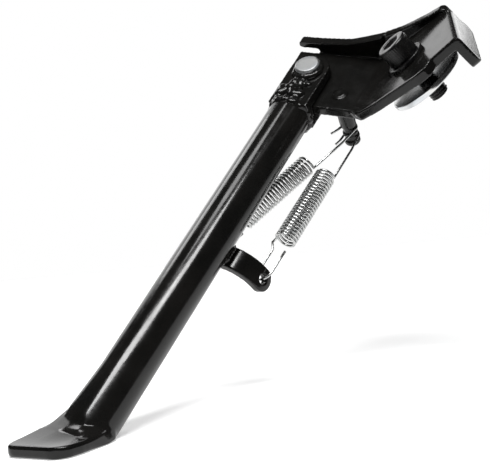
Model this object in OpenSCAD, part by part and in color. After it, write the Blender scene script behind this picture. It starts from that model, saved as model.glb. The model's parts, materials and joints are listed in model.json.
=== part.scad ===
// Side stand for a scooter or small motorcycle: a bent clamp bracket, and a leg that swings on it.

/* [Clamp plate] */
// Thickness of the bracket plate
plate_t = 5; // [4:0.5:6]
// Distance from the bolt axis to the outer face of the end hook
hook_reach = 28.7; // [26:0.1:34]
// How far the end hook reaches below the clamp plate
hook_drop = 12.7; // [8:0.1:16]
// Outside radius of the fold between the clamp plate and the hook
fold_r = 3; // [1:0.5:4.5]

/* [Bend between the plates] */
// Angle by which the swivel plate is bent up from the clamp plate
bend_angle = 36; // [20:1:45]
// Angle between the hook direction and the bend line, seen along the bolt
bend_skew = 57; // [45:1:65]
// Place of the bend line's reference point beside the bolt, towards the leg
bend_x = -21.5; // [-26:0.5:-20]
// Place of the bend line's reference point beside the bolt, towards the flange
bend_y = 20.5; // [16:0.5:22]

/* [Swivel plate] */
// Length of the swivel plate from the bend line to its free end
swivel_len = 48.5; // [46:0.5:54]
// Distance from the reference point to the flange side of the swivel plate
swivel_far = 12.5; // [11:0.5:16]
// Distance from the bend line to the pivot
pivot_e = 33.2; // [31:0.1:34]
// Offset of the pivot along the bend line
pivot_b = 6.8; // [5:0.1:9]
// Distance from the pivot to the edge that the leg stops on
stop_r = 21.3; // [20:0.1:24]

/* [Flange] */
// Height of the flange at the bend
flange_mid_h = 13.4; // [12:0.1:20]
// Height of the flange at the free end of the swivel plate
flange_left_h = 6.4; // [6:0.1:9]
// Height of the flange beside the hook
flange_right_h = 2.5; // [1.5:0.1:5]
// Length of the free finger at the end of the flange
finger_len = 11.5; // [6:0.5:14]
// Height of the relief gap under the finger
finger_gap = 2.4; // [1.5:0.1:3]

/* [Clamp bolt] */
// Thread diameter of the clamp bolt
bolt_d = 10; // [8:1:12]
// Diameter of the bolt's round head
head_d = 16; // [14:0.5:18]
// Height of the bolt's head
head_h = 10; // [8:0.5:12]
// Width of the hexagonal socket across its flats
socket_w = 8; // [6:0.5:10]
// Length of the bolt below the clamp plate
bolt_below = 19.5; // [16:0.5:30]
// Diameter of the washer under the head
head_washer_d = 20; // [18:0.5:24]
// Thickness of the washer under the head
head_washer_t = 2; // [1:0.1:3]
// Diameter of the large clamp washer
clamp_washer_d = 40; // [30:1:44]
// Thickness of the large clamp washer
clamp_washer_t = 3; // [2:0.1:5]
// Gap between the clamp plate and the large washer
clamp_gap = 6.7; // [4:0.1:10]
// How much the threaded end is thinner than the bolt's plain shank
thread_step = 0.8; // [0.6:0.1:1.2]

/* [Pivot] */
// Diameter of the pivot pin
pin_d = 10; // [8:0.5:12]
// Diameter of the pin's head
pin_head_d = 13.4; // [12.5:0.1:18]
// Height of the pin's head
pin_head_h = 4; // [2:0.1:5]
// Outside diameter of the bush in the swivel plate
bush_d = 14; // [13.5:0.1:16]
// Radial play between the pin and the bush
pin_play = 0.05; // [0.02:0.01:0.1]

/* [Leg] */
// Outside diameter of the leg tube
tube_d = 22; // [20:0.5:24]
// Wall thickness of the leg tube
tube_wall = 2.5; // [1.5:0.1:3]
// Distance from the pivot to the bend at the foot
leg_len = 217; // [180:1:260]
// Thickness of the fork ears
ear_t = 5; // [4:0.5:6]
// Play between each ear and the swivel plate
ear_play = 0.3; // [0.2:0.05:0.6]

/* [Foot] */
// Angle between the tube and the flat foot
foot_bend = 41; // [25:1:50]
// Turn of the foot around the tube
foot_roll = 17.5; // [0:0.5:30]
// Length of the foot on its longer side
foot_len = 36; // [30:0.5:50]
// How much shorter the other side of the foot is
toe_slant = 7.7; // [0:0.1:10]
// Width of the foot
foot_w = 30; // [24:0.5:36]
// Thickness of the pressed foot
foot_t = 5; // [4:0.5:8]
// Depth of the sole below the tube's axis at the bend
foot_drop = 7; // [5:0.5:9]

/* [Springs] */
// Outside diameter of the spring coils
coil_d = 11.2; // [8:0.1:11.2]
// Diameter of the spring wire
wire_d = 1.3; // [1:0.1:1.6]
// Number of turns in each coil
coil_turns = 24; // [12:1:28]
// Distance from the post to the start of each coil
coil_start = 31; // [31:1:40]
// Length of each coil
coil_len = 46; // [40:1:50]
// Place of the spring post along the leg's direction
post_x = 10; // [8:0.5:12]
// Place of the spring post towards the bend
post_y = 21.4; // [19:0.2:23]
// Length of the free end of each spring's lower hook
hook_free = 13; // [4:0.5:14]
// Diameter of the spring post
post_d = 8.4; // [7:0.1:9]
// Distance from the pivot to the strap that holds the springs
strap_x = 112; // [90:0.5:150]
// Width of the strap along the leg
strap_w = 12; // [10:0.5:16]
// Thickness of the strap
strap_t = 4; // [3:0.5:5]
// Outside radius of the curved strap
strap_r = 22; // [20:0.5:24]

/* [Hidden] */
$fn = 64;

// The leg points down to the front left of the rest position
heading = -133;
// How far the plates and flanges run past the bend line, just short of a mitre
bend_lap = 0.93 * plate_t * tan(bend_angle / 2);
// Height at which the bolt's plain shank ends, just clear of the large washer
thread_z = -clamp_gap - clamp_washer_t - 0.6;
paint = "#1c1c1b";
zinc = "#c9cccd";

// Fork: two ears on each side of the plate, joined by a web that is also the stop
ear_low = plate_t / 2 + ear_play;
ear_high = ear_low + ear_t;
web_x = stop_r + 0.1;
web_t = 5;
tube_x = web_x + web_t;
flatten_x = leg_len - 15;
weld_r = 2.2;

// Lower end of the pin
pin_washer_t = 1.5;
circlip_t = 1.2;
circlip_z = -ear_high - pin_washer_t;
pin_low = circlip_z - circlip_t - 1.5;
pin_groove_r = pin_d / 2 - 0.6;

// Spring post: shank, two grooves and a knob, all measured from the middle of the plate
near_groove_z = -26;
far_groove_z = -20.5;
groove_w = 2.4;
groove_r = post_d / 2 - 1;
post_low = -31;
post_shank_r = post_d / 2 - 1;

// Strap holes
strap_z = -tube_d / 2 - strap_r;
hole_angle = 68;
strap_mid_r = strap_r - strap_t / 2;
hole_y = strap_mid_r * sin(hole_angle);
hole_z = strap_z + strap_mid_r * cos(hole_angle);
hole_r = 2.4;

// Lower hooks: radius of the bend, and length of the part that stays with the leg
hook_r = (coil_d - wire_d) / 2;
hook_neck = 8;

// The far hook sits further out in its hole, because that spring crosses the leg at an angle
far_shift = 1.1;
near_from = [post_x, post_y, near_groove_z];
near_to = [strap_x, hole_y, hole_z];
far_from = [post_x, post_y, far_groove_z];
far_to = [strap_x, -hole_y - far_shift * sin(hole_angle), hole_z + far_shift * cos(hole_angle)];

// Unit vector
function unit(v) = v / norm(v);

// Points of an arc of radius r that rounds the corner q between p and s
function corner(p, q, s, r, steps = 6) =
    r == 0 ? [q] :
    let (a = unit(p - q), c = unit(s - q), half = acos(a * c) / 2)
    let (middle = q + unit(a + c) * r / sin(half))
    let (first = q + a * r / tan(half) - middle, last = q + c * r / tan(half) - middle)
    [for (i = [0:steps]) middle + r * unit(first * (steps - i) + last * i)];

// Outline through [x, y, corner radius] points
function rounded(points) =
    let (n = len(points))
    let (flat = [for (p = points) [p.x, p.y]])
    [for (i = [0:n - 1]) each corner(flat[(i + n - 1) % n], flat[i], flat[(i + 1) % n], points[i][2])];

// Frame of the clamp plate: z along the bolt towards its head, x towards the hook
module clamp_frame() {
    rotate([0, 0, heading])
        rotate([0, foot_bend, 0])
            rotate([bend_angle - foot_roll, 0, 0])
                rotate([0, 0, -180 - bend_skew])
                    children();
}

// Frame of the swivel plate: x along the bend line, z = 0 on the top of the plate
module swivel_frame() {
    clamp_frame()
        translate([bend_x, bend_y, plate_t])
            rotate([0, 0, 180 + bend_skew])
                rotate([-bend_angle, 0, 0])
                    children();
}

// Frame of the leg: origin at the pivot in the middle of the plate, x along the tube
module leg_frame() {
    swivel_frame() translate([pivot_b, -pivot_e, -plate_t / 2]) children();
}

// Frame of the foot: z is up, x towards the toe
module foot_frame() {
    leg_frame()
        translate([leg_len, 0, 0])
            rotate([foot_roll, 0, 0])
                rotate([0, -foot_bend, 0])
                    children();
}

// A round bar along x
module bar_x(r, x0, x1) {
    translate([x0, 0, 0]) rotate([0, 90, 0]) cylinder(r = r, h = x1 - x0);
}

// A ring around z
module ring(r_in, r_out, z0, h) {
    translate([0, 0, z0]) difference() {
        cylinder(r = r_out, h = h);
        translate([0, 0, -1]) cylinder(r = r_in, h = h + 2);
    }
}

// Clamp plate seen along the bolt
module clamp_outline() {
    along = [-cos(bend_skew), -sin(bend_skew)];
    edge = [bend_x, bend_y] + bend_lap * [-sin(bend_skew), cos(bend_skew)];
    far = edge - swivel_far * along;
    near = edge + (pivot_b + stop_r - 0.1) * along;
    inner = hook_reach - plate_t;
    polygon(rounded([
        [far.x, far.y, 0], [near.x, near.y, 0], [near.x + 3, near.y - 7.5, 4],
        [-24.7, -16.7, 30], [3, -28.4, 8], [8.6, -28.8, 2], [12, -24.8, 2],
        [inner + 0.1, -25, 0], [inner + 0.1, 18.8, 0]]));
}

// End hook, folded down from the clamp plate
module hook() {
    difference() {
        translate([hook_reach - plate_t, 0, 0])
            rotate([90, 0, 90])
                linear_extrude(plate_t)
                    polygon(rounded([[-25, plate_t, 0], [-25, -hook_drop, 3.5],
                        [24, -hook_drop, 4], [17.6, -2.2, 0], [17.6, plate_t, 0]]));
        translate([hook_reach - fold_r, 0, plate_t - fold_r])
            rotate([90, 0, 0])
                difference() {
                    translate([0, 0, -40]) cube([fold_r + 1, fold_r + 1, 80]);
                    translate([0, 0, -41]) cylinder(r = fold_r, h = 82);
                }
    }
}

// Swivel plate with its free corner rounded about the pivot
module swivel_plate() {
    translate([0, 0, -plate_t]) linear_extrude(plate_t) {
        translate([-swivel_far, -swivel_len])
            square([swivel_far + pivot_b, swivel_len + bend_lap]);
        translate([pivot_b - 0.1, -pivot_e]) square([stop_r + 0.1, pivot_e + bend_lap]);
        intersection() {
            translate([pivot_b, -pivot_e]) circle(r = stop_r, $fn = 128);
            translate([0, -swivel_len]) square([pivot_b + stop_r, swivel_len]);
        }
    }
}

// Flange along the swivel plate, with a free finger over a relief gap
module swivel_flange() {
    finger_e = swivel_len - finger_len;
    translate([-swivel_far, 0, 0])
        rotate([90, 0, -90])
            linear_extrude(plate_t)
                polygon(rounded([
                    [-bend_lap, -plate_t, 0], [finger_e, -plate_t, 0], [finger_e, finger_gap, 1],
                    [swivel_len, finger_gap, 1.6], [swivel_len, flange_left_h, 1.8],
                    [36, flange_left_h + 0.2, 30], [19, flange_left_h + 1.2, 30], [9, 10.5, 30],
                    [-bend_lap, flange_mid_h + 0.6, 0]]));
}

// Flange along the clamp plate, sinking towards the hook
module clamp_flange() {
    start = [bend_x + swivel_far * cos(bend_skew), bend_y + swivel_far * sin(bend_skew)];
    end = [hook_reach, 17.2];
    run = norm(end - start);
    translate([start.x, start.y, 0])
        rotate([90, 0, atan2(end.y - start.y, end.x - start.x)])
            translate([0, 0, -plate_t])
                linear_extrude(plate_t)
                    polygon(rounded([
                        [-bend_lap, 0, 0], [run - 2, 0, 1], [run - 2, plate_t + flange_right_h, 3],
                        [run - 12, plate_t + 3.6, 60], [19, plate_t + 6.4, 60],
                        [9, plate_t + 9.8, 60], [-bend_lap, plate_t + flange_mid_h + 0.4, 0]]));
}

module bracket_plate() {
    color(paint) difference() {
        union() {
            clamp_frame() {
                linear_extrude(plate_t) clamp_outline();
                hook();
                clamp_flange();
            }
            swivel_frame() {
                swivel_plate();
                swivel_flange();
            }
        }
        clamp_frame() translate([0, 0, -1]) cylinder(d = bolt_d + 0.6, h = plate_t + 2);
        leg_frame() translate([0, 0, -plate_t]) cylinder(d = bush_d, h = 2 * plate_t);
        leg_frame() translate([post_x, post_y, -plate_t]) cylinder(r = post_shank_r, h = 2 * plate_t);
    }
}

module pivot_bush() {
    color("#8c7a4a") leg_frame() ring(pin_d / 2 + pin_play, bush_d / 2, -plate_t / 2, plate_t);
}

// Post with a rivet end in the plate, and a groove for each spring
module spring_post() {
    r = post_d / 2;
    color(paint) leg_frame() translate([post_x, post_y, 0]) rotate_extrude() polygon([
        [0, post_low], [r - 1, post_low], [r, post_low + 1],
        [r, near_groove_z - groove_w / 2 - 0.8], [groove_r, near_groove_z - groove_w / 2],
        [groove_r, near_groove_z + groove_w / 2], [r, near_groove_z + groove_w / 2 + 0.4],
        [r, far_groove_z - groove_w / 2 - 0.4], [groove_r, far_groove_z - groove_w / 2],
        [groove_r, far_groove_z + groove_w / 2], [r, far_groove_z + groove_w / 2 + 0.8],
        [r, -plate_t / 2], [post_shank_r, -plate_t / 2], [post_shank_r, plate_t / 2],
        [post_shank_r - 0.6, plate_t / 2 + 0.5], [0, plate_t / 2 + 0.5]]);
}

module clamp_bolt() {
    head_z = plate_t + head_washer_t;
    color("#262626") clamp_frame() difference() {
        union() {
            translate([0, 0, -bolt_below]) cylinder(d = bolt_d - thread_step, h = bolt_below);
            translate([0, 0, thread_z]) cylinder(d = bolt_d, h = head_z - thread_z + 0.1);
            translate([0, 0, head_z]) cylinder(d = head_d, h = head_h);
        }
        translate([0, 0, head_z + head_h / 2])
            cylinder(r = socket_w / sqrt(3), h = head_h, $fn = 6);
    }
}

module bolt_washer() {
    color("#2a2a2a") clamp_frame() ring(bolt_d / 2 + 0.25, head_washer_d / 2, plate_t, head_washer_t);
}

module clamp_washer() {
    color(zinc) clamp_frame()
        ring(bolt_d / 2 + 0.05, clamp_washer_d / 2, -clamp_gap - clamp_washer_t, clamp_washer_t);
}

// Plan of the pressed foot: the toe is cut at a slant
module foot_outline() {
    half = foot_w / 2;
    heel = tube_d / 2;
    polygon(rounded([[-3, -heel, 0], [10, -half, 14], [foot_len, -half, 7],
        [foot_len - toe_slant, half + 1, 3], [11, half - 0.5, 14], [-3, heel, 0]]));
}

module leg_tube() {
    inset = 0.3;
    color(paint) {
        leg_frame() difference() {
            bar_x(tube_d / 2, tube_x, flatten_x);
            bar_x(tube_d / 2 - tube_wall, tube_x - 1, flatten_x - 6);
        }
        hull() {
            leg_frame() bar_x(tube_d / 2 - inset, flatten_x - 2, flatten_x - 1.5, $fn = 32);
            foot_frame() translate([-2.5, -tube_d / 2 + 0.5, -foot_drop + inset])
                cube([1, tube_d - 1, foot_t - 2 * inset]);
        }
        foot_frame() translate([0, 0, -foot_drop]) linear_extrude(foot_t) foot_outline();
    }
}

// Fork ear, rounded about the pin, from z0 to z0 + ear_t
module ear(z0) {
    leg_frame() difference() {
        union() {
            translate([0, 0, z0]) cylinder(d = tube_d, h = ear_t);
            translate([0, -tube_d / 2, z0]) cube([tube_x, tube_d, ear_t]);
        }
        translate([0, 0, z0 - 1]) cylinder(d = pin_d, h = ear_t + 2);
    }
}

module upper_ear() {
    color(paint) ear(ear_low);
}

module lower_ear() {
    color(paint) ear(-ear_high);
}

// Web between the ears: it closes the fork and stops the leg against the plate's edge
module fork_web() {
    color(paint) leg_frame()
        translate([web_x, -tube_d / 2, -ear_low]) cube([web_t, tube_d, 2 * ear_low]);
}

// Bead all round where the fork meets the tube
module fork_weld() {
    color(paint) difference() {
        leg_frame() translate([tube_x, 0, 0]) rotate([0, 90, 0])
            rotate_extrude() translate([tube_d / 2 - 0.3, 0]) circle(r = weld_r);
        leg_frame() bar_x(tube_d / 2, tube_x, tube_x + 10);
        leg_frame() translate([0, -tube_d / 2, -ear_high]) cube([tube_x, tube_d, 2 * ear_high]);
    }
}

module pivot_pin() {
    r = pin_d / 2;
    head_top = ear_high + pin_head_h;
    color(zinc) leg_frame() rotate_extrude() polygon([
        [0, pin_low], [r - 0.6, pin_low], [r, pin_low + 0.6],
        [r, circlip_z - circlip_t], [pin_groove_r, circlip_z - circlip_t],
        [pin_groove_r, circlip_z], [r, circlip_z], [r, ear_high], [pin_head_d / 2, ear_high],
        [pin_head_d / 2, head_top - 0.8], [pin_head_d / 2 - 0.8, head_top], [0, head_top]]);
}

module pin_washer() {
    color(zinc) leg_frame() ring(pin_d / 2 + 0.1, pin_d / 2 + 4, circlip_z, pin_washer_t);
}

// Open retaining ring in the pin's groove
module pin_circlip() {
    color("#3a3a3a") leg_frame() difference() {
        ring(pin_groove_r, pin_d / 2 + 2, circlip_z - circlip_t, circlip_t);
        translate([0, -2, circlip_z - circlip_t - 1]) cube([pin_d, 4, circlip_t + 2]);
    }
}

// Places its children at a strap hole, with z along the hole
module at_strap_hole(side) {
    leg_frame()
        translate([strap_x, 0, strap_z])
            rotate([-side * hole_angle, 0, 0])
                translate([0, 0, strap_mid_r])
                    children();
}

// Curved strap under the tube, with a rounded end and a hole on each side
module spring_strap() {
    reach = 2 * strap_r;
    edge = [sin(hole_angle), cos(hole_angle)] * reach;
    color(paint) difference() {
        intersection() {
            leg_frame() translate([strap_x - strap_w / 2, 0, strap_z])
                rotate([0, 90, 0]) ring(strap_r - strap_t, strap_r, 0, strap_w);
            union() {
                leg_frame() translate([strap_x - strap_w / 2 - 1, 0, strap_z])
                    rotate([90, 0, 90]) linear_extrude(strap_w + 2)
                        polygon([[0, 0], edge, [edge.x, reach], [-edge.x, reach], [-edge.x, edge.y]]);
                for (side = [-1, 1])
                    at_strap_hole(side) translate([0, 0, -5]) cylinder(d = strap_w, h = 10);
            }
        }
        for (side = [-1, 1])
            at_strap_hole(side) translate([0, 0, -5]) cylinder(r = hole_r, h = 10);
    }
}

// A bead on each side of the strap, in the corner between it and the tube
module strap_weld() {
    color(paint) difference() {
        leg_frame() for (side = [-1, 1])
            translate([strap_x - strap_w / 2, side * 5.5, -tube_d / 2 - 0.4])
                rotate([0, 90, 0]) cylinder(r = 2.2, h = strap_w);
        leg_frame() bar_x(tube_d / 2, tube_x, flatten_x);
        leg_frame() translate([strap_x - strap_w / 2 - 1, 0, strap_z])
            rotate([0, 90, 0]) cylinder(r = strap_r, h = strap_w + 2);
    }
}

// Frame of a spring: x from its post groove to its strap hole
module spring_frame(from, to) {
    run = to - from;
    leg_frame()
        translate(from)
            rotate([0, -asin(run.z / norm(run)), atan2(run.y, run.x)])
                children();
}

// Coil: a wire swept around x, with closed ends
module coil() {
    sides = 6;
    steps = 12;
    count = coil_turns * steps;
    r = (coil_d - wire_d) / 2;
    pitch = coil_len / coil_turns;
    points = [for (i = [0:count]) let (turn = 360 * i / steps)
        for (k = [0:sides - 1]) let (a = 360 * k / sides, rr = r + wire_d / 2 * cos(a))
            [coil_start + pitch * i / steps + wire_d / 2 * sin(a), rr * cos(turn), rr * sin(turn)]];
    walls = [for (i = [0:count - 1], k = [0:sides - 1]) let (n = (k + 1) % sides)
        [i * sides + k, i * sides + n, (i + 1) * sides + n, (i + 1) * sides + k]];
    ends = [[for (k = [sides - 1:-1:0]) k], [for (k = [0:sides - 1]) count * sides + k]];
    polyhedron(points, concat(walls, ends), convexity = 8);
}

// Loop round the post and a straight wire to the coil
module top_hook() {
    loop_r = groove_r + wire_d / 2 + 0.15;
    rotate_extrude(angle = 300) translate([loop_r, 0]) circle(d = wire_d, $fn = 16);
    bar_x(wire_d / 2, loop_r, coil_start - wire_d / 2 - 0.3, $fn = 16);
}

// Straight wire from the coil to just short of the hook
module end_wire(run, side) {
    rotate([-side * hole_angle, 0, 0])
        translate([0, 0, -hook_r])
            bar_x(wire_d / 2, coil_start + coil_len + wire_d / 2 + 0.3, run - hook_neck - 1.2,
                $fn = 16);
}

// Open hook through the strap hole on one side
module end_hook(run, side) {
    hook_x = run - hook_r;
    rotate([-side * hole_angle, 0, 0]) {
        translate([0, 0, -hook_r]) bar_x(wire_d / 2, run - hook_neck, hook_x, $fn = 16);
        translate([0, 0, hook_r]) bar_x(wire_d / 2, hook_x - hook_free, hook_x, $fn = 16);
        translate([hook_x, 0, 0]) rotate([90, 0, 0])
            rotate_extrude(angle = 180, start = -90) translate([hook_r, 0])
                circle(d = wire_d, $fn = 16);
    }
}

module near_spring_coil() {
    color(zinc) spring_frame(near_from, near_to) coil();
}

module near_spring_top_hook() {
    color(zinc) spring_frame(near_from, near_to) top_hook();
}

module near_spring_end_wire() {
    color(zinc) spring_frame(near_from, near_to) end_wire(norm(near_to - near_from), 1);
}

module near_spring_end_hook() {
    color(zinc) spring_frame(near_from, near_to) end_hook(norm(near_to - near_from), 1);
}

module far_spring_coil() {
    color(zinc) spring_frame(far_from, far_to) coil();
}

module far_spring_top_hook() {
    color(zinc) spring_frame(far_from, far_to) top_hook();
}

module far_spring_end_wire() {
    color(zinc) spring_frame(far_from, far_to) end_wire(norm(far_to - far_from), -1);
}

module far_spring_end_hook() {
    color(zinc) spring_frame(far_from, far_to) end_hook(norm(far_to - far_from), -1);
}

bracket_plate();
pivot_bush();
spring_post();
clamp_bolt();
bolt_washer();
clamp_washer();
leg_tube();
upper_ear();
lower_ear();
fork_web();
fork_weld();
pivot_pin();
pin_washer();
pin_circlip();
spring_strap();
strap_weld();
near_spring_coil();
near_spring_top_hook();
near_spring_end_wire();
near_spring_end_hook();
far_spring_coil();
far_spring_top_hook();
far_spring_end_wire();
far_spring_end_hook();
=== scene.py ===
import json
import math
import random

import bmesh
import bpy
from mathutils import Matrix, Vector, noise

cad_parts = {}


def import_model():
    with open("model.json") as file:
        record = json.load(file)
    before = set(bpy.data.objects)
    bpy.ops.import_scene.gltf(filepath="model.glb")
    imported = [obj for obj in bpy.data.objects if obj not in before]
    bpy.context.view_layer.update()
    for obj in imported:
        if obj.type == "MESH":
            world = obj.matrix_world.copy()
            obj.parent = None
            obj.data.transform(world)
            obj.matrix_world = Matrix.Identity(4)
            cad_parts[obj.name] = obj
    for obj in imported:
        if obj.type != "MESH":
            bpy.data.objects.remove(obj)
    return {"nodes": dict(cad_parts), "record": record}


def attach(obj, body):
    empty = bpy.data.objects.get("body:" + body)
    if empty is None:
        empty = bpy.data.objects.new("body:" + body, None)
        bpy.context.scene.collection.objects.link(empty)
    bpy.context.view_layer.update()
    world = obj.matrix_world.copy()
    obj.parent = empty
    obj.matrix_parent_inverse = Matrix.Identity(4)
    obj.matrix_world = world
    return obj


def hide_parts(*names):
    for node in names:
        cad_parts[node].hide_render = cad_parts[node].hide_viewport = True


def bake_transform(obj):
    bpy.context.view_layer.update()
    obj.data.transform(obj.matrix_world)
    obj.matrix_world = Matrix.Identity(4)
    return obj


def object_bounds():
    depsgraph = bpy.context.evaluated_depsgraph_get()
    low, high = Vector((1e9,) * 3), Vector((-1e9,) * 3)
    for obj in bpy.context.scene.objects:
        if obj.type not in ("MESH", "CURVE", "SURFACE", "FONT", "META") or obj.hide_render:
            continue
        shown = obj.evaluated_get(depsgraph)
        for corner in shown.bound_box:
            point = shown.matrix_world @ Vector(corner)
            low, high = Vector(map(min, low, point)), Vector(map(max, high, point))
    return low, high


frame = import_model()
CAD_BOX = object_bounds()
RECORD = frame["record"]
MM = 0.001

# Angles and sizes shared with the CAD part, in degrees and millimetres
HEADING = -133
FOOT_BEND = 41
FOOT_ROLL = 17.5
BEND_ANGLE = 36
BEND_SKEW = 57
PLATE_T = 5
TUBE_R = 11
TUBE_START = 26.4
LEG_LEN = 217
FOOT_LEN = 37.6
FOOT_HALF = 15
FOOT_T = 5
FOOT_DROP = 7
TOE_SLANT = 7.7
BOLT_R = 5
BOLT_BELOW = 19.5
HEAD_R = 8
HEAD_H = 10
HEAD_Z = 7
CLAMP_GAP = 6.7
CLAMP_WASHER_T = 3
CLAMP_WASHER_R = 20
EAR_LOW = 2.8
EAR_HIGH = 7.8
PIN_WASHER_T = 1.5
PIN_R = 5
PIN_HEAD_R = 6.7
PIN_HEAD_H = 4
POST = Vector((10, 21.4, 0))
POST_R = 4.2
GROOVE_R = 3.2
GROOVE_Z = {"near": -26, "far": -20.5}
STRAP_X = 112
STRAP_R = 22
STRAP_T = 4
STRAP_W = 12
HOLE_ANGLE = 68
COIL_R = 4.95
WIRE_R = 0.65
COIL_START = 31
COIL_LEN = 46
HOLE_SHIFT = {"near": 0, "far": 1.1}

# Fineness of the visual meshes
RING_SIDES = 96
COIL_TURNS = 23.5
STEPS_PER_TURN = 20


# ---------------------------------------------------------------- frames
def turn(axis, degrees):
    """Rotation about X, Y or Z."""
    return Matrix.Rotation(math.radians(degrees), 4, axis)


def joint(name):
    """The record's joint of that name."""
    return next(j for j in RECORD["behaviour"]["joints"] if j["name"] == name)


def placed(rotation, at_m):
    """A frame in millimetres with that rotation, at a point given in metres."""
    return Matrix.Translation(Vector(at_m) / MM) @ rotation


CLAMP_TURN = (turn("Z", HEADING) @ turn("Y", FOOT_BEND) @ turn("X", BEND_ANGLE - FOOT_ROLL)
              @ turn("Z", -180 - BEND_SKEW))
LEG_TURN = CLAMP_TURN @ turn("Z", 180 + BEND_SKEW) @ turn("X", -BEND_ANGLE)
CLAMP = placed(CLAMP_TURN, (0, 0, 0))
LEG = placed(LEG_TURN, joint("leg_swing")["pos_m"])
FOOT = LEG @ Matrix.Translation((LEG_LEN, 0, 0)) @ turn("X", FOOT_ROLL) @ turn("Y", -FOOT_BEND)


# ---------------------------------------------------------------- mesh helpers
def smooth(t):
    """Smooth step from 0 to 1."""
    t = min(1, max(0, t))
    return t * t * (3 - 2 * t)


def make_object(name, points, faces, place):
    """Object whose mesh holds points, given in millimetres in the frame place."""
    mesh = bpy.data.meshes.new(name)
    mesh.from_pydata([tuple((place @ Vector(p)) * MM) for p in points], [], faces)
    mesh.validate()
    for polygon in mesh.polygons:
        polygon.use_smooth = True
    obj = bpy.data.objects.new(name, mesh)
    bpy.context.scene.collection.objects.link(obj)
    return obj


def grid_faces(rows, columns, closed_rows=False):
    """Quads of a tube of rings, each of columns points, with flat caps unless it closes on itself."""
    faces = []
    for i in range(rows if closed_rows else rows - 1):
        for k in range(columns):
            a, b = i * columns + k, i * columns + (k + 1) % columns
            c, d = (i + 1) % rows * columns + (k + 1) % columns, (i + 1) % rows * columns + k
            faces.append((a, b, c, d))
    if not closed_rows:
        faces.append(tuple(range(columns))[::-1])
        faces.append(tuple((rows - 1) * columns + k for k in range(columns)))
    return faces


def soften(profile, radius):
    """A profile of (r, z) points with each corner between its ends rounded by about radius."""
    steps = 4
    points = [Vector(p) for p in profile]
    out = [points[0]]
    for before, here, after in zip(points, points[1:], points[2:]):
        cut = min(radius, (before - here).length * 0.45, (after - here).length * 0.45)
        first = here + (before - here).normalized() * cut
        last = here + (after - here).normalized() * cut
        for step in range(steps + 1):
            t = step / steps
            out.append(first * (1 - t) ** 2 + here * 2 * t * (1 - t) + last * t ** 2)
    out.append(points[-1])
    return out


def lathe(name, profile, place, segments, shape=None, closed=False):
    """Profile of (r, z) turned about z. shape(r, z, angle) may return a changed (r, z)."""
    rings = []
    for r, z in profile:
        for k in range(segments):
            angle = 2 * math.pi * k / segments
            radius, height = shape(r, z, angle) if shape else (r, z)
            rings.append((radius * math.cos(angle), radius * math.sin(angle), height))
    return make_object(name, rings, grid_faces(len(profile), segments, closed), place)


def sweep(name, points, radius, place):
    """Round wire along points, with frames carried along it so that it doesn't twist."""
    sides = 10
    normal = (points[1] - points[0]).orthogonal().normalized()
    verts = []
    for i, here in enumerate(points):
        ahead = points[min(i + 1, len(points) - 1)] - points[max(i - 1, 0)]
        ahead.normalize()
        normal = (normal - ahead * normal.dot(ahead)).normalized()
        side = ahead.cross(normal)
        for k in range(sides):
            angle = 2 * math.pi * k / sides
            verts.append(here + (normal * math.cos(angle) + side * math.sin(angle)) * radius)
    return make_object(name, verts, grid_faces(len(points), sides), place)


def apply_modifiers(obj):
    """Replaces the mesh by what its modifiers make of it."""
    depsgraph = bpy.context.evaluated_depsgraph_get()
    mesh = bpy.data.meshes.new_from_object(obj.evaluated_get(depsgraph))
    obj.modifiers.clear()
    obj.data = mesh
    for polygon in mesh.polygons:
        polygon.use_smooth = True


def rounded_object(name, mesh, voxel, smoothing):
    """Object of that mesh, closed into one skin and with its edges rounded."""
    obj = bpy.data.objects.new(name, mesh)
    bpy.context.scene.collection.objects.link(obj)
    remesh = obj.modifiers.new("remesh", "REMESH")
    remesh.mode = "VOXEL"
    remesh.voxel_size = voxel * MM
    relax = obj.modifiers.new("relax", "SMOOTH")
    relax.factor = 0.5
    relax.iterations = smoothing
    bpy.context.view_layer.update()
    apply_modifiers(obj)
    return obj


def skin(name, node, voxel, smoothing):
    """Copy of a CAD node with its edges rounded, as paint and tumbling leave them."""
    return rounded_object(name, frame["nodes"][node].data.copy(), voxel, smoothing)


def finish_piece(obj, material, body, slot, *nodes):
    """Gives a piece its material and body, and hides the CAD nodes it stands for."""
    obj.data.materials.clear()
    obj.data.materials.append(material)
    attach(obj, body)
    if nodes:
        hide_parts(*nodes)


# ---------------------------------------------------------------- materials
def new_material(name, **values):
    """Principled material, its shader node and node tree, with constant sockets set by name."""
    material = bpy.data.materials.new(name)
    material.use_nodes = True
    tree = material.node_tree
    shader = tree.nodes["Principled BSDF"]
    for key, value in values.items():
        shader.inputs[key.replace("_", " ")].default_value = value
    return material, shader, tree


def noise_height(tree, scale, detail=4.0, roughness=0.55):
    """Height output of a noise in object space. scale is in features per metre."""
    coords = tree.nodes.new("ShaderNodeTexCoord")
    texture = tree.nodes.new("ShaderNodeTexNoise")
    texture.inputs["Scale"].default_value = scale
    texture.inputs["Detail"].default_value = detail
    texture.inputs["Roughness"].default_value = roughness
    tree.links.new(coords.outputs["Object"], texture.inputs["Vector"])
    return texture.outputs["Fac"]


def vary(tree, shader, socket, height, low, high):
    """Varies a socket of the shader from low to high, both RGB, over the middle of a noise's height."""
    node = tree.nodes.new("ShaderNodeValToRGB")
    for element, position, colour in zip(node.color_ramp.elements, (0.35, 0.65), (low, high)):
        element.position = position
        element.color = (*colour, 1)
    tree.links.new(height, node.inputs["Fac"])
    tree.links.new(node.outputs["Color"], shader.inputs[socket])


def grey(value):
    """A grey as RGB."""
    return (value, value, value)


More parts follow.
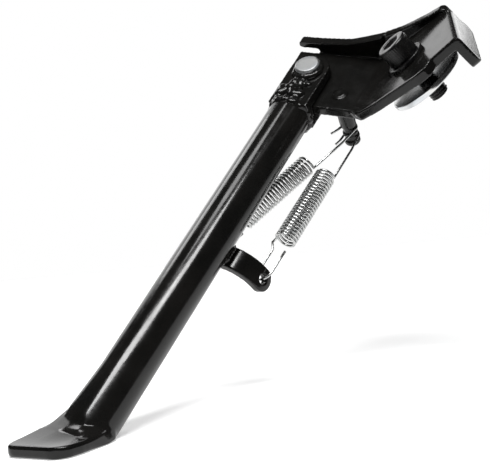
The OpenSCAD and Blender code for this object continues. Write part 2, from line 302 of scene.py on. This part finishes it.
def bump(tree, shader, height, strength, distance):
    """Bump from a height output. distance is in metres."""
    node = tree.nodes.new("ShaderNodeBump")
    node.inputs["Strength"].default_value = strength
    node.inputs["Distance"].default_value = distance
    tree.links.new(height, node.inputs["Height"])
    tree.links.new(node.outputs["Normal"], shader.inputs["Normal"])


def paint(name="gloss_black_paint", roughness=(0.12, 0.2), peel=0.04):
    """Glossy black stove enamel over steel: deep black, with a faint orange peel and light handling haze."""
    material, shader, tree = new_material(name, IOR=1.31, Coat_Weight=0.12, Coat_Roughness=0.05, Coat_IOR=1.5)
    tint = noise_height(tree, 45, 3)
    vary(tree, shader, "Base Color", tint, (0.0045, 0.0045, 0.0042), (0.008, 0.0076, 0.007))
    haze = noise_height(tree, 160, 5, 0.6)
    vary(tree, shader, "Roughness", haze, grey(roughness[0]), grey(roughness[1]))
    bump(tree, shader, noise_height(tree, 620, 2, 0.4), peel, 0.0004)
    return material


def zinc(name, roughness, shade=1.0):
    """Zinc plate, slightly blue, with a fine grain and cloudy sheen. shade scales its brightness; below 1 it
    is painted shade, a darker copy for a part that the lamps light too strongly.
    """
    material, shader, tree = new_material(name, Metallic=1.0)
    low, high = Vector((0.50, 0.52, 0.54)) * shade, Vector((0.60, 0.60, 0.59)) * shade
    vary(tree, shader, "Base Color", noise_height(tree, 130), low, high)
    grain = noise_height(tree, 900, 6, 0.7)
    vary(tree, shader, "Roughness", grain, grey(roughness[0]), grey(roughness[1]))
    bump(tree, shader, grain, 0.12, 0.0001)
    return material


def spring_wire():
    """Drawn and zinc-plated spring wire."""
    material, shader, tree = new_material("spring_wire", Metallic=1.0)
    vary(tree, shader, "Base Color", noise_height(tree, 400, 3), (0.36, 0.37, 0.37), (0.52, 0.52, 0.51))
    grain = noise_height(tree, 2600, 3)
    vary(tree, shader, "Roughness", grain, grey(0.16), grey(0.3))
    bump(tree, shader, grain, 0.1, 0.00005)
    return material


def oxide():
    """Oiled black oxide on the bolt and its washer."""
    material, shader, tree = new_material("black_oxide", IOR=1.38)
    cloud = noise_height(tree, 300)
    vary(tree, shader, "Base Color", cloud, (0.005, 0.005, 0.0055), (0.012, 0.0115, 0.011))
    vary(tree, shader, "Roughness", cloud, grey(0.2), grey(0.32))
    bump(tree, shader, noise_height(tree, 1500, 4, 0.7), 0.15, 0.0001)
    return material


def bronze():
    """Sintered bronze of the pivot bush."""
    material, shader, tree = new_material("sintered_bronze", Metallic=1.0)
    pores = noise_height(tree, 1800, 5, 0.7)
    vary(tree, shader, "Base Color", pores, (0.28, 0.19, 0.09), (0.58, 0.42, 0.22))
    vary(tree, shader, "Roughness", pores, grey(0.3), grey(0.55))
    bump(tree, shader, pores, 0.3, 0.0001)
    return material


def floor_material():
    """Plain pale floor."""
    material, shader, tree = new_material("pale_floor", Roughness=0.9, Emission_Strength=0.5)
    shade = noise_height(tree, 6, 2)
    for socket in ("Base Color", "Emission Color"):
        vary(tree, shader, socket, shade, grey(0.86), grey(0.88))
    return material


PAINT = paint()
WELD_PAINT = paint("painted_weld", (0.14, 0.24), 0.12)
ZINC = zinc("bright_zinc", (0.12, 0.22))
# Rougher zinc for the pin head, darkened by 0.55 as painted shade against the light that falls on it
PIN_SHADED_ZINC = zinc("dull_zinc_painted_shade", (0.38, 0.55), 0.55)
WIRE = spring_wire()
OXIDE = oxide()
BRONZE = bronze()


# ---------------------------------------------------------------- bracket
def bracket():
    """The bent plate with its hook and flange."""
    obj = skin("bracket_skin", "bracket_plate", 0.5, 10)
    finish_piece(obj, PAINT, "bracket", "black_paint", "bracket_plate")


def hexagon(flats, angle):
    """Distance from the middle of a hexagon to its side in that direction."""
    part = math.radians(60)
    return flats / 2 / math.cos((angle + part / 2) % part - part / 2)


def clamp_bolt():
    """Socket-head cap screw: knurled head, hexagon recess, plain neck and rolled thread."""
    flats, depth, knurls, knurl_depth = 8, 5, 44, 0.1
    pitch, thread, plain_neck = 1.5, 0.75, 3
    top = HEAD_Z + HEAD_H

    def head_shape(r, z, angle):
        """Cuts the knurls. A negative r belongs to the recess, whose wall is at -1."""
        if r < 0:
            return hexagon(flats, angle) + r + 1, z
        if r > HEAD_R - 0.05 and z < top - 1:
            return r - knurl_depth * (0.5 - 0.5 * math.cos(knurls * angle)) ** 2, z
        return r, z

    outer = [(BOLT_R - 0.3, HEAD_Z), (HEAD_R - 0.6, HEAD_Z), (HEAD_R - 0.2, HEAD_Z + 0.2)]
    outer += [(HEAD_R, HEAD_Z + 0.7 + 0.9 * i) for i in range(10)]
    outer += [(HEAD_R - 0.1, top - 0.7), (HEAD_R - 0.5, top - 0.15), (HEAD_R - 1.0, top), (HEAD_R - 1.8, top)]
    socket = [(-0.55, top), (-0.8, top - 0.12), (-1, top - 0.5), (-1, top - depth)]
    bottom = [(1.2, top - depth - 1.2), (0.02, top - depth - 1.5)]
    head = lathe("clamp_bolt_head", outer + socket + bottom, CLAMP, 264, head_shape)
    finish_piece(head, OXIDE, "bracket", "black_oxide", "clamp_bolt")

    def thread_shape(r, z, angle):
        if r < BOLT_R - 0.02:
            return r, z
        phase = (z / pitch + angle / (2 * math.pi)) % 1
        ridge = min(1, max(0, abs(phase - 0.5) * 2.9 - 0.25))
        fade = min(1, max(0, (-plain_neck - z) / 2))
        return r - thread * (1 - ridge) * fade, z

    rows, low = 130, 0.6 - BOLT_BELOW
    profile = [(0.02, -BOLT_BELOW), (BOLT_R - 1.1, -BOLT_BELOW), (BOLT_R - 0.6, low - 0.3)]
    profile += [(BOLT_R - 0.01, low + (HEAD_Z - low) * i / rows) for i in range(rows + 1)]
    shank = lathe("clamp_bolt_thread", profile, CLAMP, 60, thread_shape)
    finish_piece(shank, OXIDE, "bracket", "black_oxide")


def washer(name, r_in, r_out, z0, z1, place, material, body, slot, node, edge):
    """Flat ring from height z0 to z1, with its edges rounded by about edge."""
    middle = (z0 + z1) / 2
    profile = soften([(r_in, middle), (r_in, z0), (r_out, z0), (r_out, z1), (r_in, z1), (r_in, middle)], edge)
    obj = lathe(name, profile[:-1], place, 144, closed=True)
    finish_piece(obj, material, body, slot, node)


def spring_post():
    """Turned post with a riveted end in the plate, a groove for each spring and a rounded knob."""
    near, far, end, top = GROOVE_Z["near"], GROOVE_Z["far"], -31, PLATE_T / 2
    profile = [(0.02, end), (POST_R - 0.9, end), (POST_R, end + 1), (POST_R, near - 2.1)]
    profile += [(GROOVE_R, near - 1.2), (GROOVE_R, near + 1.2), (POST_R - 0.2, near + 2.0)]
    profile += [(POST_R - 0.2, far - 2.0), (GROOVE_R, far - 1.2), (GROOVE_R, far + 1.2)]
    profile += [(POST_R, far + 2.1), (POST_R, -top)]
    profile += [(POST_R - 1, -top), (POST_R - 1, top - 0.1), (POST_R + 0.1, top), (POST_R - 0.2, top + 0.35)]
    profile += [(POST_R - 1.8, top + 0.75), (0.02, top + 0.6)]
    obj = lathe("spring_post_turned", soften(profile, 0.45), LEG @ Matrix.Translation(POST), 72)
    finish_piece(obj, PAINT, "bracket", "black_paint", "spring_post")


# ---------------------------------------------------------------- leg
def rounded_rectangle(half_w, half_h, radius):
    """RING_SIDES points evenly spaced round a rectangle with round corners, from its right side's middle."""
    across, up, steps = half_w - radius, half_h - radius, 8
    outline = [Vector((half_w, 0))]
    for x, y, start in ((across, up, 0), (-across, up, 90), (-across, -up, 180), (across, -up, 270)):
        for step in range(steps + 1):
            angle = math.radians(start + 90 * step / steps)
            outline.append(Vector((x + radius * math.cos(angle), y + radius * math.sin(angle))))
    outline.append(Vector((half_w, 0)))
    lengths = [0]
    for a, b in zip(outline, outline[1:]):
        lengths.append(lengths[-1] + (b - a).length)
    points, i = [], 0
    for k in range(RING_SIDES):
        target = lengths[-1] * k / RING_SIDES
        while lengths[i + 1] < target:
            i += 1
        t = (target - lengths[i]) / max(lengths[i + 1] - lengths[i], 1e-9)
        points.append(outline[i].lerp(outline[i + 1], t))
    return points


def tube_axis(distance):
    """Point of the tube's axis in the foot's frame, at a distance from the bend."""
    tilt = math.radians(FOOT_BEND)
    return Vector((math.cos(tilt), 0, -math.sin(tilt))) * distance


def tube_ring(distance):
    """Ring of the round tube in the foot's frame, at a distance along its axis from the bend."""
    tilt = math.radians(FOOT_BEND)
    centre = tube_axis(distance)
    up = Vector((math.sin(tilt), 0, math.cos(tilt)))
    angles = [2 * math.pi * k / RING_SIDES for k in range(RING_SIDES)]
    return [centre + Vector((0, TUBE_R * math.cos(a), 0)) + up * TUBE_R * math.sin(a) for a in angles]


def bar_ring(x, half_w, thin, slant, lip):
    """Ring of the flat foot, thinner by thin above and below and slanted across its width by slant.

    lip is how far its top, but not its near edge, stands up where the tube was pressed.
    """
    half_h = FOOT_T / 2 - thin
    ring = []
    for y, h in rounded_rectangle(half_w, half_h, min(half_h - 0.01, 1.6)):
        share = smooth((0.95 - y / half_w) / 1.2) * smooth((h / half_h + 0.6) / 1.2)
        ahead = x - slant * (y / FOOT_HALF * 0.5 + 0.5)
        ring.append(Vector((ahead, y, FOOT_T / 2 - FOOT_DROP + h + lip * share)))
    return ring


# Where the pressed end turns, by the angle round the tube in degrees: how far past the bend it stays round,
# then two points, in the foot's frame, through which its wall comes down to the flat foot
PRESS = [
    (0, 1, (2.4, 11.7, -2.6), (6, 13.2, -4.0)),
    (13, 1.5, (3.2, 11.2, -1.4), (7, 13.2, -1.9)),
    (30, 2.5, (7.7, 9.4, 0.8), (10.5, 10.2, 0.2)),
    (53, 3.5, (10.8, 6.8, 1.7), (14, 7, 0.9)),
    (90, 2, (12, 0, 3.2), (15, 0, 1.4)),
    (127, -1, (8.6, -8.4, 4.4), (13.5, -8, 1.7)),
    (147, -3, (5.8, -11.2, 5.4), (11.5, -12.2, 2.3)),
    (167, -3, (5, -12.8, 3.4), (11.5, -14.1, 1.1)),
    (180, -1, (3, -12.6, -0.8), (10, -14.4, -2.6)),
    (193, 0, (1, -12, -5.5), (8, -14.3, -7)),
    (233, 0, (-3, -8.5, -7), (5, -6.8, -7)),
    (270, -2, (-5, 0, -7), (4, 0, -7)),
    (307, 0, (-3, 8, -7), (5, 6.8, -7)),
    (347, 0, (-1, 11.5, -6.4), (4, 13.2, -7)),
]
# The plain tube ends at ROUND_END before the bend. The flat foot begins at FLAT_X, with its top raised there
ROUND_END = -24
FLAT_X = 18
FLAT_RISE = 2.4
FLAT_SLANT = 0.25


def press_at(degrees):
    """Entries of PRESS blended at an angle round the tube."""
    rows = PRESS + [(360,) + PRESS[0][1:]]
    for before, after in zip(rows, rows[1:]):
        if degrees <= after[0]:
            t = smooth((degrees - before[0]) / (after[0] - before[0]))
            round_to = before[1] + (after[1] - before[1]) * t
            return (round_to, *(Vector(a).lerp(Vector(b), t) for a, b in zip(before[2:], after[2:])))


def pressed_rings():
    """Rings from the round tube to the flat foot, in columns that run straight between turns, then eased."""
    first = tube_ring(ROUND_END)
    last = bar_ring(FLAT_X, FOOT_HALF, 0, TOE_SLANT * FLAT_SLANT, FLAT_RISE)
    columns = []
    for k in range(RING_SIDES):
        degrees = 360 * k / RING_SIDES
        round_to, wall, crease = press_at(degrees)
        swell = 1 + 0.16 * smooth(1 - abs(degrees - 145) / 60)
        axis = tube_axis(round_to)
        stops = [first[k], axis + (tube_ring(round_to)[k] - axis) * swell, wall, crease, last[k]]
        column = []
        for (a, b), steps in zip(zip(stops, stops[1:]), (20, 9, 8, 8)):
            column += [a.lerp(b, i / steps) for i in range(steps)]
        column.append(stops[-1])
        columns.append(column)
    rows, easings = len(columns[0]), 4
    for _ in range(easings):
        eased = [[column[0]] for column in columns]
        for k in range(RING_SIDES):
            for i in range(1, rows - 1):
                along = (columns[k][i - 1] + columns[k][i + 1]) / 2
                around = (columns[k - 1][i] + columns[(k + 1) % RING_SIDES][i]) / 2
                eased[k].append(columns[k][i] * 0.4 + along * 0.4 + around * 0.2)
            eased[k].append(columns[k][-1])
        columns = eased
    return [[column[i] for column in columns] for i in range(1, rows)]


def leg_tube():
    """Tube, pressed flat and bent at its lower end into the foot."""
    start, tube_steps = TUBE_START - LEG_LEN, 60
    rings = [tube_ring(start + (ROUND_END - start) * i / tube_steps) for i in range(tube_steps + 1)]
    rings += pressed_rings()
    steps, corner, edge = 48, 9.0, 1.7
    for i in range(1, steps + 1):
        t = 1 - (1 - i / steps) ** 2
        x = FLAT_X + (FOOT_LEN - FLAT_X) * t
        left = FOOT_LEN - x
        inset = corner - math.sqrt(max(0, corner ** 2 - max(0, corner - left) ** 2))
        thin = edge - math.sqrt(max(0, edge ** 2 - max(0, edge - left) ** 2))
        half_w = FOOT_HALF + 0.4 * smooth(t * 4) - inset * 0.8
        slant = TOE_SLANT * (FLAT_SLANT + (1 - FLAT_SLANT) * t)
        rings.append(bar_ring(x, half_w, thin, slant, FLAT_RISE * (1 - t) ** 2))
    verts = [p for ring in rings for p in ring]
    obj = make_object("leg_tube_pressed", verts, grid_faces(len(rings), RING_SIDES), FOOT)
    finish_piece(obj, PAINT, "leg", "black_paint", "leg_tube")


def small_skins():
    """Ears, web and strap, with their edges rounded."""
    for node in ("upper_ear", "lower_ear", "fork_web", "spring_strap"):
        finish_piece(skin(node + "_skin", node, 0.4, 8), PAINT, "leg", "black_paint", node)


def bead(name, points, radius, seed):
    """Open weld bead along points of the leg: overlapping ripples, uneven width and thinner ends."""
    ripple, sides = 1.6, 14
    verts, run, last = [], 0.0, len(points) - 1
    for i, here in enumerate(points):
        ahead, behind = points[min(i + 1, last)], points[max(i - 1, 0)]
        direction = (ahead - behind).normalized()
        out = (here - Vector((here.x, 0, 0))).normalized()
        side = direction.cross(out).normalized()
        uneven = noise.noise(here * 0.35 + Vector((seed, 0, 0)))
        lump = 0.16 * abs(math.sin(math.pi * run / ripple)) + 0.22 * uneven
        taper = min(1, 0.35 + 3 * min(i, last - i) / len(points))
        for k in range(sides):
            angle = 2 * math.pi * k / sides
            wide = radius * taper * (1 + lump)
            verts.append(here + (out * math.cos(angle) + side * math.sin(angle)) * wide)
        run += (ahead - here).length
    return make_object(name, verts, grid_faces(len(points), sides), LEG)


def lumpy_mass(name, spots):
    """One mass on the leg made of balls, given as (centre, radius), that run into each other."""
    mesh = bpy.data.meshes.new(name)
    shape = bmesh.new()
    for centre, radius in spots:
        at = LEG @ Matrix.Translation(centre)
        bmesh.ops.create_icosphere(shape, subdivisions=2, radius=radius * MM,
                                   matrix=Matrix.Translation(at.translation * MM))
    shape.to_mesh(mesh)
    shape.free()
    return rounded_object(name, mesh, 0.45, 14)


def fork_weld_spots():
    """Uneven row of weld drops round the fork, over the ears and round the foot of the pin's head."""
    drops, drops_round_pin, half_w = 34, 22, 8.5
    spots = []
    for i in range(drops):
        angle = 2 * math.pi * i / drops + random.uniform(-0.05, 0.05)
        r = TUBE_R - 0.9 + random.uniform(-0.3, 0.3)
        x = TUBE_START + random.uniform(-0.9, 1.2)
        spots.append((Vector((x, r * math.cos(angle), r * math.sin(angle))), random.uniform(1.7, 2.6)))
    for sign in (-1, 1):
        for i in range(drops):
            x = random.uniform(11, TUBE_START + 1)
            y = random.uniform(-half_w, half_w)
            if math.hypot(x, y) < PIN_HEAD_R + 3 and sign < 0:
                continue
            size = random.uniform(2.4, 3.7)
            sunk = min(0.6 + 1.6 * (abs(y) / half_w) ** 2, EAR_HIGH - EAR_LOW - size)
            spots.append((Vector((x, y, sign * (EAR_HIGH - sunk))), size))
    for i in range(drops_round_pin):
        angle = 2 * math.pi * i / drops_round_pin
        r = PIN_HEAD_R + random.uniform(0.0, 0.5)
        size = 1.7 + 0.9 * max(0, math.cos(angle)) + random.uniform(-0.2, 0.2)
        spots.append((Vector((r * math.cos(angle), r * math.sin(angle), EAR_HIGH + 0.2)), size))
    return spots


def welds():
    """Weld round the fork, and a bead along each side of the strap. The near bead stands for strap_weld."""
    obj = lumpy_mass("fork_weld_mass", fork_weld_spots())
    finish_piece(obj, WELD_PAINT, "leg", "black_paint", "fork_weld")
    steps = 30
    for which, side, nodes in (("far", -1, []), ("near", 1, ["strap_weld"])):
        line = [Vector((STRAP_X - STRAP_W / 2 + STRAP_W * i / steps, side * 5.6, -TUBE_R + 0.2))
                for i in range(steps + 1)]
        obj = bead(f"strap_weld_bead_{which}", line, 1.9, 7 + side)
        finish_piece(obj, WELD_PAINT, "leg", "black_paint", *nodes)


def pivot_pin():
    """Rivet-like pin: flat chamfered head, shank, and grooved lower end."""
    top = EAR_HIGH + PIN_HEAD_H
    low = -EAR_HIGH - PIN_WASHER_T
    profile = [(0.02, top - 0.02), (3.2, top), (PIN_HEAD_R - 0.9, top), (PIN_HEAD_R, top - 0.8)]
    profile += [(PIN_HEAD_R, EAR_HIGH + 0.3), (PIN_HEAD_R - 0.3, EAR_HIGH), (PIN_R, EAR_HIGH), (PIN_R, low)]
    profile += [(PIN_R - 0.6, low), (PIN_R - 0.6, low - 1.2), (PIN_R, low - 1.2), (PIN_R, low - 2.1)]
    profile += [(PIN_R - 0.6, low - 2.7), (0.02, low - 2.7)]
    obj = lathe("pivot_pin_turned", soften(profile, 0.25)[::-1], LEG, 96)
    # The pin's darker zinc is painted shade on its head
    finish_piece(obj, PIN_SHADED_ZINC, "leg", "zinc_plate", "pivot_pin")


def circlip():
    """Retaining ring: a flat open ring with two eyes."""
    z, inner, outer = -EAR_HIGH - PIN_WASHER_T - 0.6, PIN_R - 0.6, PIN_R + 1.7
    verts, steps, opening = [], 90, 26
    for i in range(steps + 1):
        angle = math.radians(opening + (360 - 2 * opening) * i / steps)
        end = min(i, steps - i) / 8
        wide = outer + (0.9 * (1 - smooth(end)) if end < 1 else 0.5 * math.sin(math.pi * i / steps) - 0.3)
        section = [(inner, -0.45), (inner, 0.45), (inner + 0.15, 0.6), (wide - 0.15, 0.6), (wide, 0.45),
                   (wide, -0.45), (wide - 0.15, -0.6), (inner + 0.15, -0.6)]
        verts += [(r * math.cos(angle), r * math.sin(angle), z + h) for r, h in section]
    obj = make_object("pin_circlip_ring", verts, grid_faces(steps + 1, len(section)), LEG)
    finish_piece(obj, OXIDE, "leg", "black_oxide", "pin_circlip")


# ---------------------------------------------------------------- springs
def arc(centre, radius, start, stop, u, v, steps=16):
    """Points of an arc in the plane of u and v."""
    points = []
    for i in range(steps + 1):
        angle = math.radians(start + (stop - start) * i / steps)
        points.append(centre + (u * math.cos(angle) + v * math.sin(angle)) * radius)
    return points


def coil():
    """Points of the coil about the spring's X axis, its end turns slightly closer than the rest."""
    steps = int(COIL_TURNS * STEPS_PER_TURN)
    points = []
    for i in range(steps + 1):
        angle = 2 * math.pi * i / STEPS_PER_TURN
        tight = min(1, i / 10, (steps - i) / 10)
        x = COIL_START + COIL_LEN / COIL_TURNS * i / STEPS_PER_TURN * (0.98 + 0.02 * tight)
        points.append(Vector((x, COIL_R * math.cos(angle), COIL_R * math.sin(angle))))
    return points


def spring_path(length, through):
    """Wire from the post, at the origin, to a strap hole at length along X, whose direction is through."""
    along, across = Vector((1, 0, 0)), Vector((0, 1, 0))
    hook_r = GROOVE_R + WIRE_R + 0.1
    path = [Vector((8.5, -hook_r - 1.2, 0)), Vector((5, -hook_r - 0.3, 0))]
    path += arc(Vector((0, 0, 0)), hook_r, 270, 90, along, across)
    path += [Vector((x, COIL_R, 0)) for x in (10, 20, COIL_START - 2)]
    path += coil()
    last_y = COIL_R * math.cos(2 * math.pi * COIL_TURNS)
    end_x = COIL_START + COIL_LEN
    path += [Vector((end_x + 1.5, last_y * 0.9, 0)) - through * (COIL_R * 0.4)]
    path += [along * x - through * COIL_R for x in (end_x + 5, end_x + 10)]
    path += arc(along * (length - COIL_R), COIL_R, -90, 90, along, through, 20)
    path += [along * (length - COIL_R - back) + through * COIL_R for back in (4, 8, 13)]
    return path


def spring(which, side):
    """One wire: open hook round the post, straight wire, coil, straight wire and open hook in the strap."""
    mid_r = STRAP_R - STRAP_T / 2 + HOLE_SHIFT[which]
    lean = math.radians(HOLE_ANGLE)
    start = Vector((POST.x, POST.y, GROOVE_Z[which]))
    hole = Vector((STRAP_X, side * mid_r * math.sin(lean), -TUBE_R - STRAP_R + mid_r * math.cos(lean)))
    length = (hole - start).length
    x_axis = (hole - start) / length
    z_axis = (Vector((0, 0, 1)) - x_axis * x_axis.z).normalized()
    y_axis = z_axis.cross(x_axis)
    place = LEG @ Matrix.Translation(start) @ Matrix((x_axis, y_axis, z_axis)).transposed().to_4x4()
    outward = Vector((0, side * math.sin(lean), math.cos(lean)))
    through = Vector((0, outward.dot(y_axis), outward.dot(z_axis))).normalized()
    obj = sweep(f"{which}_spring_wire", spring_path(length, through), WIRE_R, place)
    obj.data.materials.append(WIRE)
    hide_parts(*(f"{which}_spring_{part}" for part in ("coil", "top_hook", "end_wire", "end_hook")))
    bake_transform(obj)


# ---------------------------------------------------------------- studio
def floor():
    """Plain pale floor just under the foot."""
    level = CAD_BOX[0][2] / MM - 0.2
    half_w, near, far = 900, -220, 800
    verts = [(-half_w, near, level), (half_w, near, level), (half_w, far, level), (-half_w, far, level)]
    obj = make_object("floor", verts, [(0, 1, 2, 3)], Matrix.Identity(4))
    obj.data.materials.append(floor_material())


def softbox(name, place, aim, width, height, radiance, along=(1, 0, 0)):
    """Rectangular light at place, aimed at a point, with its width set along a direction."""
    data = bpy.data.lights.new(name, "AREA")
    data.shape = "RECTANGLE"
    data.size, data.size_y = width * MM, height * MM
    data.energy = radiance * math.pi * width * height * MM * MM
    light = bpy.data.objects.new(name, data)
    back = (Vector(place) - Vector(aim)).normalized()
    side = (Vector(along) - back * back.dot(Vector(along))).normalized()
    turned = Matrix((side, back.cross(side), back)).transposed().to_4x4()
    light.matrix_world = Matrix.Translation(Vector(place) * MM) @ turned
    bpy.context.scene.collection.objects.link(light)


def lights():
    """Soft studio light: strips and hazes that the tube reflects, a wall behind, and a box for the hook."""
    softbox("tube_strip", (45, -392, 722), (-110, -40, -80), 230, 150, 30, (210, 55, 0))
    softbox("tube_strip_low", (-227, -376, 714), (-150, -75, -120), 350, 150, 30, (334, -88, 12))
    softbox("tube_strip_top", (330, -294, 735), (-80, -10, -40), 340, 60, 1.2, (304, 113, 12))
    softbox("tube_haze", (-160, -110, 825), (-115, -40, -75), 220, 200, 11)
    softbox("tube_haze_left", (-512, 471, 570), (-110, -25, -60), 260, 260, 6)
    softbox("back_wall", (-330, 980, 380), (-60, 0, 0), 1100, 800, 1.5)
    softbox("hook_box", (560, 740, 430), (10, 10, 0), 500, 400, 2.3)


def world():
    """White where the camera sees past the stand, and dim surroundings for its light and reflections."""
    scene_world = bpy.data.worlds.new("studio")
    scene_world.use_nodes = True
    tree = scene_world.node_tree
    dim = tree.nodes["Background"]
    white = tree.nodes.new("ShaderNodeBackground")
    for background, strength in ((dim, 0.04), (white, 1)):
        background.inputs["Color"].default_value = (1, 1, 1, 1)
        background.inputs["Strength"].default_value = strength
    path = tree.nodes.new("ShaderNodeLightPath")
    mix = tree.nodes.new("ShaderNodeMixShader")
    tree.links.new(path.outputs["Is Camera Ray"], mix.inputs["Fac"])
    tree.links.new(dim.outputs["Background"], mix.inputs[1])
    tree.links.new(white.outputs["Background"], mix.inputs[2])
    tree.links.new(mix.outputs["Shader"], tree.nodes["World Output"].inputs["Surface"])
    bpy.context.scene.world = scene_world


def camera():
    """Camera low in front of the stand, looking slightly down and slightly rolled."""
    place = Vector((-86.3, -513.2, -45.3)) * MM
    azimuth, elevation, roll = 0.35, 3.01, 5.48
    data = bpy.data.cameras.new("camera")
    data.sensor_width = 36
    data.lens = 77.1
    data.clip_start, data.clip_end = 0.01, 20
    obj = bpy.data.objects.new("camera", data)
    aimed = turn("Z", azimuth) @ turn("X", 90 - elevation) @ turn("Z", -roll)
    obj.matrix_world = Matrix.Translation(place) @ aimed
    bpy.context.scene.collection.objects.link(obj)
    bpy.context.scene.camera = obj


random.seed(7)
camera()
world()
lights()
floor()

bracket()
clamp_bolt()
washer("bolt_washer_ring", BOLT_R + 0.3, 10, PLATE_T, HEAD_Z, CLAMP,
       OXIDE, "bracket", "black_oxide", "bolt_washer", 0.4)
washer("clamp_washer_ring", BOLT_R + 0.1, CLAMP_WASHER_R, -CLAMP_GAP - CLAMP_WASHER_T, -CLAMP_GAP, CLAMP,
       ZINC, "bracket", "zinc_plate", "clamp_washer", 0.7)
washer("pivot_bush_ring", PIN_R + 0.05, 7, -PLATE_T / 2, PLATE_T / 2, LEG,
       BRONZE, "bracket", "bronze", "pivot_bush", 0.3)
spring_post()
leg_tube()
small_skins()
welds()
pivot_pin()
washer("pin_washer_ring", PIN_R + 0.1, 9, -EAR_HIGH - PIN_WASHER_T, -EAR_HIGH, LEG,
       ZINC, "leg", "zinc_plate", "pin_washer", 0.3)
circlip()
spring("near", 1)
spring("far", -1)

bpy.context.scene.view_settings.view_transform = "Standard"
